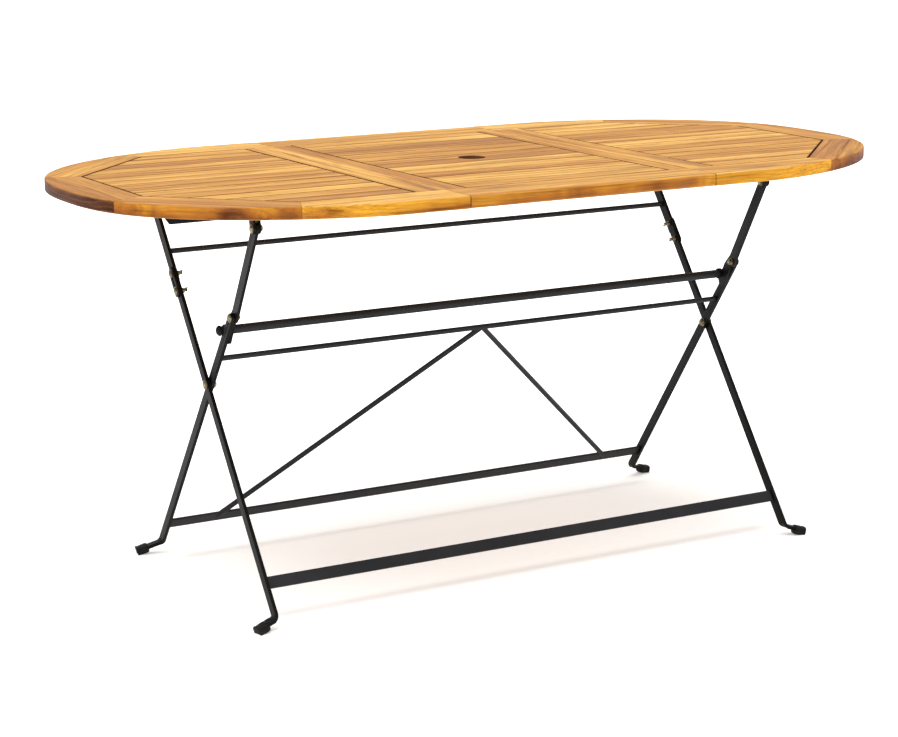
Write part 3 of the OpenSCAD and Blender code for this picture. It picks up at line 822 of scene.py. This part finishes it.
def make_wing_nuts(node):
    """Wing nuts with a tapered hub and two wings that curve inward."""
    nuts = Forging()
    solids = islands(node)
    centres = [sum(limits(points), Vector()) / 2 for points in solids]
    for points, centre in zip(solids, centres):
        way = -outward(points)
        seat = seat_at(points, way, limits(points, way)[0])
        others = [c for c in centres if c.x * centre.x > 0 and c != centre]
        twin = min(others, key=lambda c: (c - centre).length)
        across = (twin - centre).normalized()
        along = across.cross(way)
        hub = [(0, 5.0), (0.3, 5.4), (1.0, 5.4), (1.2, 5.0), (4.8, 4.2), (5.8, 3.9), (6.2, 3.3), (6.2, 2.9)]
        nuts.turned(seat, way, hub)
        for side in (-1, 1):
            rings = []
            for k, (out, inward, half) in enumerate(WING_PATH):
                before, after = WING_PATH[max(k - 1, 0)], WING_PATH[min(k + 1, len(WING_PATH) - 1)]
                step = along * side * (after[0] - before[0]) + way * (after[1] - before[1])
                step.normalize()
                thick = 1.15 if k < len(WING_PATH) - 1 else 0.6
                spread = step.cross(across)
                ring = []
                for i in range(12):
                    a = math.tau * i / 12
                    ring.append(seat + (along * side * out + way * inward) * MM
                                + (spread * math.cos(a) * half + across * math.sin(a) * thick) * MM)
                rings.append(ring)
            nuts.loft(rings)
    nuts.build(node + "_detail", ZINC, "zinc", frame["nodes"][node]["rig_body"], [node])


PLUG_DOME = 8   # mm that a plug stands out past its seat on the bar


def make_bar_plugs(node):
    """Domed plugs in the ends of the pull bar, with a small moulding mark."""
    plugs = Forging()
    for points in islands(node):
        way = outward(points)
        low, high = limits(points)
        near, far = limits(points, way)
        rim = (high.z - low.z) / 2 / MM
        rows = [p for p in points if p.dot(way) < near + 0.1 * MM]
        stem = (limits(rows)[1].z - limits(rows)[0].z) / 2 / MM
        seat = seat_at(points, way, far - PLUG_DOME * MM)
        start = -(far - near) / MM + PLUG_DOME
        profile = [(start, stem - 0.6), (start + 0.6, stem), (-0.1, stem), (0, rim - 0.5), (0.4, rim)]
        profile += [(2.3, rim), (3.0, rim * 0.96), (4.6, rim * 0.84), (6.2, rim * 0.62), (7.3, rim * 0.34)]
        profile += [(7.7, rim * 0.17), (7.6, rim * 0.13), (7.3, rim * 0.08)]
        plugs.turned(seat, way, profile)
    plugs.build(node + "_detail", PLASTIC, "black_plastic", frame["nodes"][node]["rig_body"], [node])


# Sleeve of a foot cap: share of its length, then how full it is across and in thickness
CAP_RINGS = [
    (0.0, 0.90, 0.90), (0.02, 0.98, 0.98), (0.06, 1.0, 1.0), (0.11, 1.0, 1.0), (0.14, 0.93, 0.93),
    (0.18, 0.91, 0.92), (0.34, 0.93, 0.95), (0.37, 0.90, 0.92), (0.40, 0.90, 0.92), (0.43, 0.94, 0.96),
    (0.50, 0.95, 0.97), (0.53, 0.91, 0.93), (0.56, 0.91, 0.93), (0.59, 0.95, 0.97), (0.72, 0.96, 0.97),
    (0.82, 0.94, 0.95), (0.90, 0.88, 0.89), (0.95, 0.78, 0.80), (0.985, 0.60, 0.62), (1.0, 0.36, 0.38),
]
CAP_HALF_WIDE, CAP_HALF_THICK = 11.5 * MM, 9.4 * MM
CAP_NEAR, LEG_NEAR = 25 * MM, 22 * MM   # how near a cap's middle its own faces and the leg's end are
CAP_ROUND = 0.72   # power of the sleeve's section: 1 is an ellipse, 0 a box
SQUARE = 0.05      # directions with a smaller dot product are at right angles


def face_ways(node, middle, reach):
    """Directions of the flat faces near a point, largest area first."""
    mesh = frame["nodes"][node].data
    areas = {}
    for face in mesh.polygons:
        if (face.center - middle).length < reach:
            key = tuple(round(c, 2) for c in face.normal)
            areas[key] = areas.get(key, 0) + face.area
    return [Vector(key).normalized() for key in sorted(areas, key=areas.get, reverse=True)]


def make_foot_caps(node, legs):
    """Moulded sleeves on the bent ends of the legs: lip, grip rings, rounded toe."""
    caps = Forging()
    for points in islands(node):
        low, high = limits(points)
        middle = (low + high) / 2
        ways = face_ways(node, middle, CAP_NEAR)
        thin = ways[0]
        leg = frame["nodes"][legs[0] if middle.x < 0 else legs[1]].data
        close = [v.co for v in leg.vertices if (v.co - middle).length < LEG_NEAR]
        bar_way = middle - sum(close, Vector()) / len(close)
        flat = [w for w in ways[1:12] if abs(w.dot(thin)) < SQUARE]
        along = max(flat, key=lambda w: w.dot(bar_way))
        across = thin.cross(along)
        a0, a1 = limits(points, along)
        c0, c1 = limits(points, across)
        t0, t1 = limits(points, thin)
        origin = across * (c0 + c1) / 2 + thin * (t0 + t1) / 2
        # the sleeve stands upright on the floor, whatever the lean of the bar inside it
        level = along.cross(Vector((0, 0, 1))).normalized()
        up = level.cross(along)
        rings = []
        for share, wide, thick in CAP_RINGS:
            ring = []
            for i in range(40):
                a = math.tau * i / 40
                x = math.copysign(abs(math.cos(a)) ** CAP_ROUND, math.cos(a)) * wide * CAP_HALF_WIDE
                y = math.copysign(abs(math.sin(a)) ** CAP_ROUND, math.sin(a)) * thick * CAP_HALF_THICK
                p = origin + along * (a0 + share * (a1 - a0)) + level * x + up * y
                ring.append(Vector((p.x, p.y, max(p.z, 0.0))))
            rings.append(ring)
        caps.loft(rings)
    caps.build(node + "_detail", PLASTIC, "black_plastic", frame["nodes"][node]["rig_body"], [node], 50)


FOOT_RADIUS = 14 * MM   # of a leg's bend, on its middle line
SAME_FACE = 0.05 * MM   # points this near a plane lie on it


def make_twisted_leg(node, caps):
    """The CAD leg bar with its bent foot twisted, so that the foot lies level in its cap."""
    cad = frame["nodes"][node]
    mesh = cad.data.copy()
    shape = bmesh.new()
    shape.from_mesh(mesh)
    bmesh.ops.remove_doubles(shape, verts=shape.verts, dist=0.001 * MM)
    shape.to_mesh(mesh)
    shape.free()
    if "custom_normal" in mesh.attributes:
        mesh.attributes.remove(mesh.attributes["custom_normal"])
    points = [v.co.copy() for v in mesh.vertices]
    low, high = limits(points)
    out = Vector((1 if low.x > 0 else -1, 0, 0))

    # the bar's own directions: across its width, and down along it
    thin_sides = [face for face in mesh.polygons if abs(face.normal.x) < 0.02]
    edge = max(thin_sides, key=lambda face: face.area).normal.copy()
    down = out.cross(edge)
    if down.z > 0:
        down, edge = -down, -edge

    # where the bend starts, on the middle line of the bar
    inner = min(p.dot(out) for p in points)
    inner_face = [p for p in points if p.dot(out) < inner + SAME_FACE]
    upper_half = [p for p in points if p.z > (low.z + high.z) / 2]
    half_thick = (limits(upper_half, out)[1] - inner) / 2
    lowest = limits(inner_face, down)[1]
    e0, e1 = limits([p for p in inner_face if p.dot(down) > lowest - 1 * MM], edge)
    start = out * (inner + half_thick) + edge * (e0 + e1) / 2 + down * lowest

    # how far it bends to reach its cap, and the twist that brings it level there
    cap = next(c for c in islands(caps) if c[0].x * out.x > 0)
    cap_ways = face_ways(caps, sum(limits(cap), Vector()) / 2, CAP_NEAR)
    along = max((w for w in cap_ways if abs(w.dot(edge)) < SQUARE), key=lambda w: w.dot(out))
    bend = down.angle(along)
    level = along.cross(Vector((0, 0, 1))).normalized()
    level = level if level.dot(edge) > 0 else -level
    twist = math.atan2(along.dot(edge.cross(level)), edge.dot(level))

    pivot = start + out * FOOT_RADIUS
    for vertex, p in zip(mesh.vertices, points):
        if p.dot(down) <= start.dot(down) + 0.01 * MM:
            continue
        arm = p - pivot
        turn = min(max(math.atan2(arm.dot(down), -arm.dot(out)), 0), bend)
        way = out * math.sin(turn) + down * math.cos(turn)
        centre = pivot + (down * math.sin(turn) - out * math.cos(turn)) * FOOT_RADIUS
        centre = centre + way * (p - centre).dot(way)
        share = turn / bend
        angle = twist * share * share * (3 - 2 * share)
        vertex.co = centre + Matrix.Rotation(angle, 3, way) @ (p - centre)
    smooth(mesh, 30)
    mesh.materials.clear()
    mesh.materials.append(COAT)
    obj = new_object(node + "_bar", mesh)
    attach(obj, cad["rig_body"])
    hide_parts(node)
    soften(obj, STEEL_EDGE)


WELD_SIZE = 1.25 * MM   # half thickness of a weld bead
WELD_STEP = 1.5 * MM    # length of one lump of it


def end_loop(node, side):
    """Points round a cross member's end face in order, about one weld step apart."""
    points = [v.co.copy() for v in frame["nodes"][node].data.vertices]
    reach = max(p.x * side for p in points)
    ends = [p for p in points if p.x * side > reach - SAME_FACE]
    middle = sum(ends, Vector()) / len(ends)
    rim = max((p - middle).length for p in ends)
    ends = [p for p in ends if (p - middle).length > rim * 0.9]
    ends.sort(key=lambda p: math.atan2(p.z - middle.z, p.y - middle.y))
    loop = []
    for p, q in zip(ends, ends[1:] + ends[:1]):
        steps = max(1, round((q - p).length / WELD_STEP))
        if (q - p).length < 0.3 * MM:
            continue
        loop += [p.lerp(q, k / steps) for k in range(steps)]
    return loop


def make_welds():
    """Weld beads where the cross members meet the legs and the pull bar meets its links."""
    rng = random.Random(11)
    for name, body, nodes in (
        ("outer_frame_welds", "outer_leg_frame", ("front_foot_rail", "top_rod")),
        ("inner_frame_welds", "inner_leg_frame", ("rear_foot_rail", "mid_rod")),
        ("pull_bar_welds", "toggle_links", ("pull_bar",)),
    ):
        beads = Forging()
        for node in nodes:
            for side in (-1, 1):
                loop = end_loop(node, side)
                if node == "pull_bar":
                    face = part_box("link_right")[0].x * side
                    loop = [Vector((face, p.y, p.z)) for p in loop]
                beads.swept_loop(loop, WELD_SIZE, rng, Vector((side, 0, 0)))
        beads.build(name, COAT, "painted_steel", body, (), 70)


def make_fasteners():
    for node, shank in SHANKS.items():
        make_bolts(node, shank)
    for node, size in NUTS.items():
        make_nuts(node, size)
    make_wing_nuts("splice_wing_nuts")
    make_bar_plugs("pull_bar_plugs")
    make_foot_caps("front_foot_caps", ("outer_leg_left", "outer_leg_right"))
    make_foot_caps("rear_foot_caps", ("inner_leg_left", "inner_leg_right"))
    make_welds()
    for side in ("left", "right"):
        make_twisted_leg("outer_leg_" + side, "front_foot_caps")
        make_twisted_leg("inner_leg_" + side, "rear_foot_caps")


# Cross members, whose coat is a lighter copy of the legs' coat: painted light
RAIL_PIECES = {
    "front_foot_rail", "rear_foot_rail", "pull_bar", "mid_rod", "top_rod", "brace_left", "brace_right",
}


def finish_cad_pieces():
    """Materials and soft edges for the steel and the screws that keep their CAD shape."""
    for name, obj in frame["nodes"].items():
        if obj.hide_render:
            continue
        zinc = name in ("rail_screws", "rear_pivot_pins")
        # the cross members get the lighter copy of the coat, painted light
        material = ZINC if zinc else COAT_RAILS_PAINTED_LIGHT if name in RAIL_PIECES else COAT
        for slot in obj.material_slots:
            slot.material = material
        soften(obj, SCREW_EDGE if zinc else STEEL_EDGE)


make_fasteners()
finish_cad_pieces()


# ---------- floor, light and camera ----------

def stage():
    """Plain white floor that runs far behind the table; it glows faintly, which thins the shadows."""
    reach = 30.0
    mesh = bpy.data.meshes.new("floor")
    corners = [(-reach, -reach, 0), (reach, -reach, 0), (reach, reach, 0), (-reach, reach, 0)]
    mesh.from_pydata(corners, [], [(0, 1, 2, 3)])
    m = Nodes("studio_floor")
    m.set("Base Color", m.ramp(m.noise(m.object_place(), 0.3, 1), [(0.0, grey(0.90)), (1.0, grey(0.92))]))
    m.set("Roughness", 0.9)
    m.set("Specular IOR Level", 0.1)
    m.set("Emission Color", (1, 1, 1, 1))
    m.set("Emission Strength", 0.22)
    mesh.materials.append(m.material)
    floor = new_object("floor", mesh)


def area_light(name, place, aim, size, power):
    lamp = bpy.data.lights.new(name, "AREA")
    lamp.shape = "DISK"
    lamp.size = size
    lamp.energy = power
    obj = bpy.data.objects.new(name, lamp)
    bpy.context.scene.collection.objects.link(obj)
    obj.location = place
    obj.rotation_euler = (Vector(aim) - Vector(place)).to_track_quat("-Z", "Y").to_euler()


def lights():
    """A broad soft overhead light, a pale room, and one lamp at the front left."""
    world = bpy.data.worlds.new("studio")
    world.use_nodes = True
    background = world.node_tree.nodes["Background"]
    background.inputs["Color"].default_value = (1, 1, 1, 1)
    background.inputs["Strength"].default_value = 0.92
    bpy.context.scene.world = world
    sun = bpy.data.lights.new("overhead", "SUN")
    sun.energy = 3.1
    sun.angle = math.radians(60)
    obj = bpy.data.objects.new("overhead", sun)
    bpy.context.scene.collection.objects.link(obj)
    obj.rotation_euler = (math.radians(4), math.radians(-8), 0)
    aim = (0, 0, cad_high.z * 0.8)
    area_light("front_left", (-2.6, -3.4, 2.2), aim, 1.4, 10)


# Fitted to the photo: metres, degrees, focal length in mm, and shift as a share of the picture
CAMERA_PLACE = (-2.1666, -3.7146, 1.3088)
CAMERA_YAW, CAMERA_PITCH, CAMERA_ROLL = 29.478, 13.03, -0.37
CAMERA_LENS = 92.9
CAMERA_SHIFT = (0.0078, 0.0190)


def camera():
    """Camera that looks along +Y, turned right by the yaw and down by the pitch."""
    data = bpy.data.cameras.new("camera")
    data.sensor_width = 36.0
    data.lens = CAMERA_LENS
    data.shift_x, data.shift_y = CAMERA_SHIFT
    obj = bpy.data.objects.new("camera", data)
    bpy.context.scene.collection.objects.link(obj)
    turn = Matrix.Rotation(math.radians(-CAMERA_YAW), 4, "Z")
    tip = Matrix.Rotation(math.radians(90 - CAMERA_PITCH), 4, "X")
    roll = Matrix.Rotation(math.radians(CAMERA_ROLL), 4, "Z")
    obj.matrix_world = Matrix.Translation(CAMERA_PLACE) @ turn @ tip @ roll
    bpy.context.scene.camera = obj


stage()
lights()
camera()
bpy.context.scene.view_settings.view_transform = "Standard"
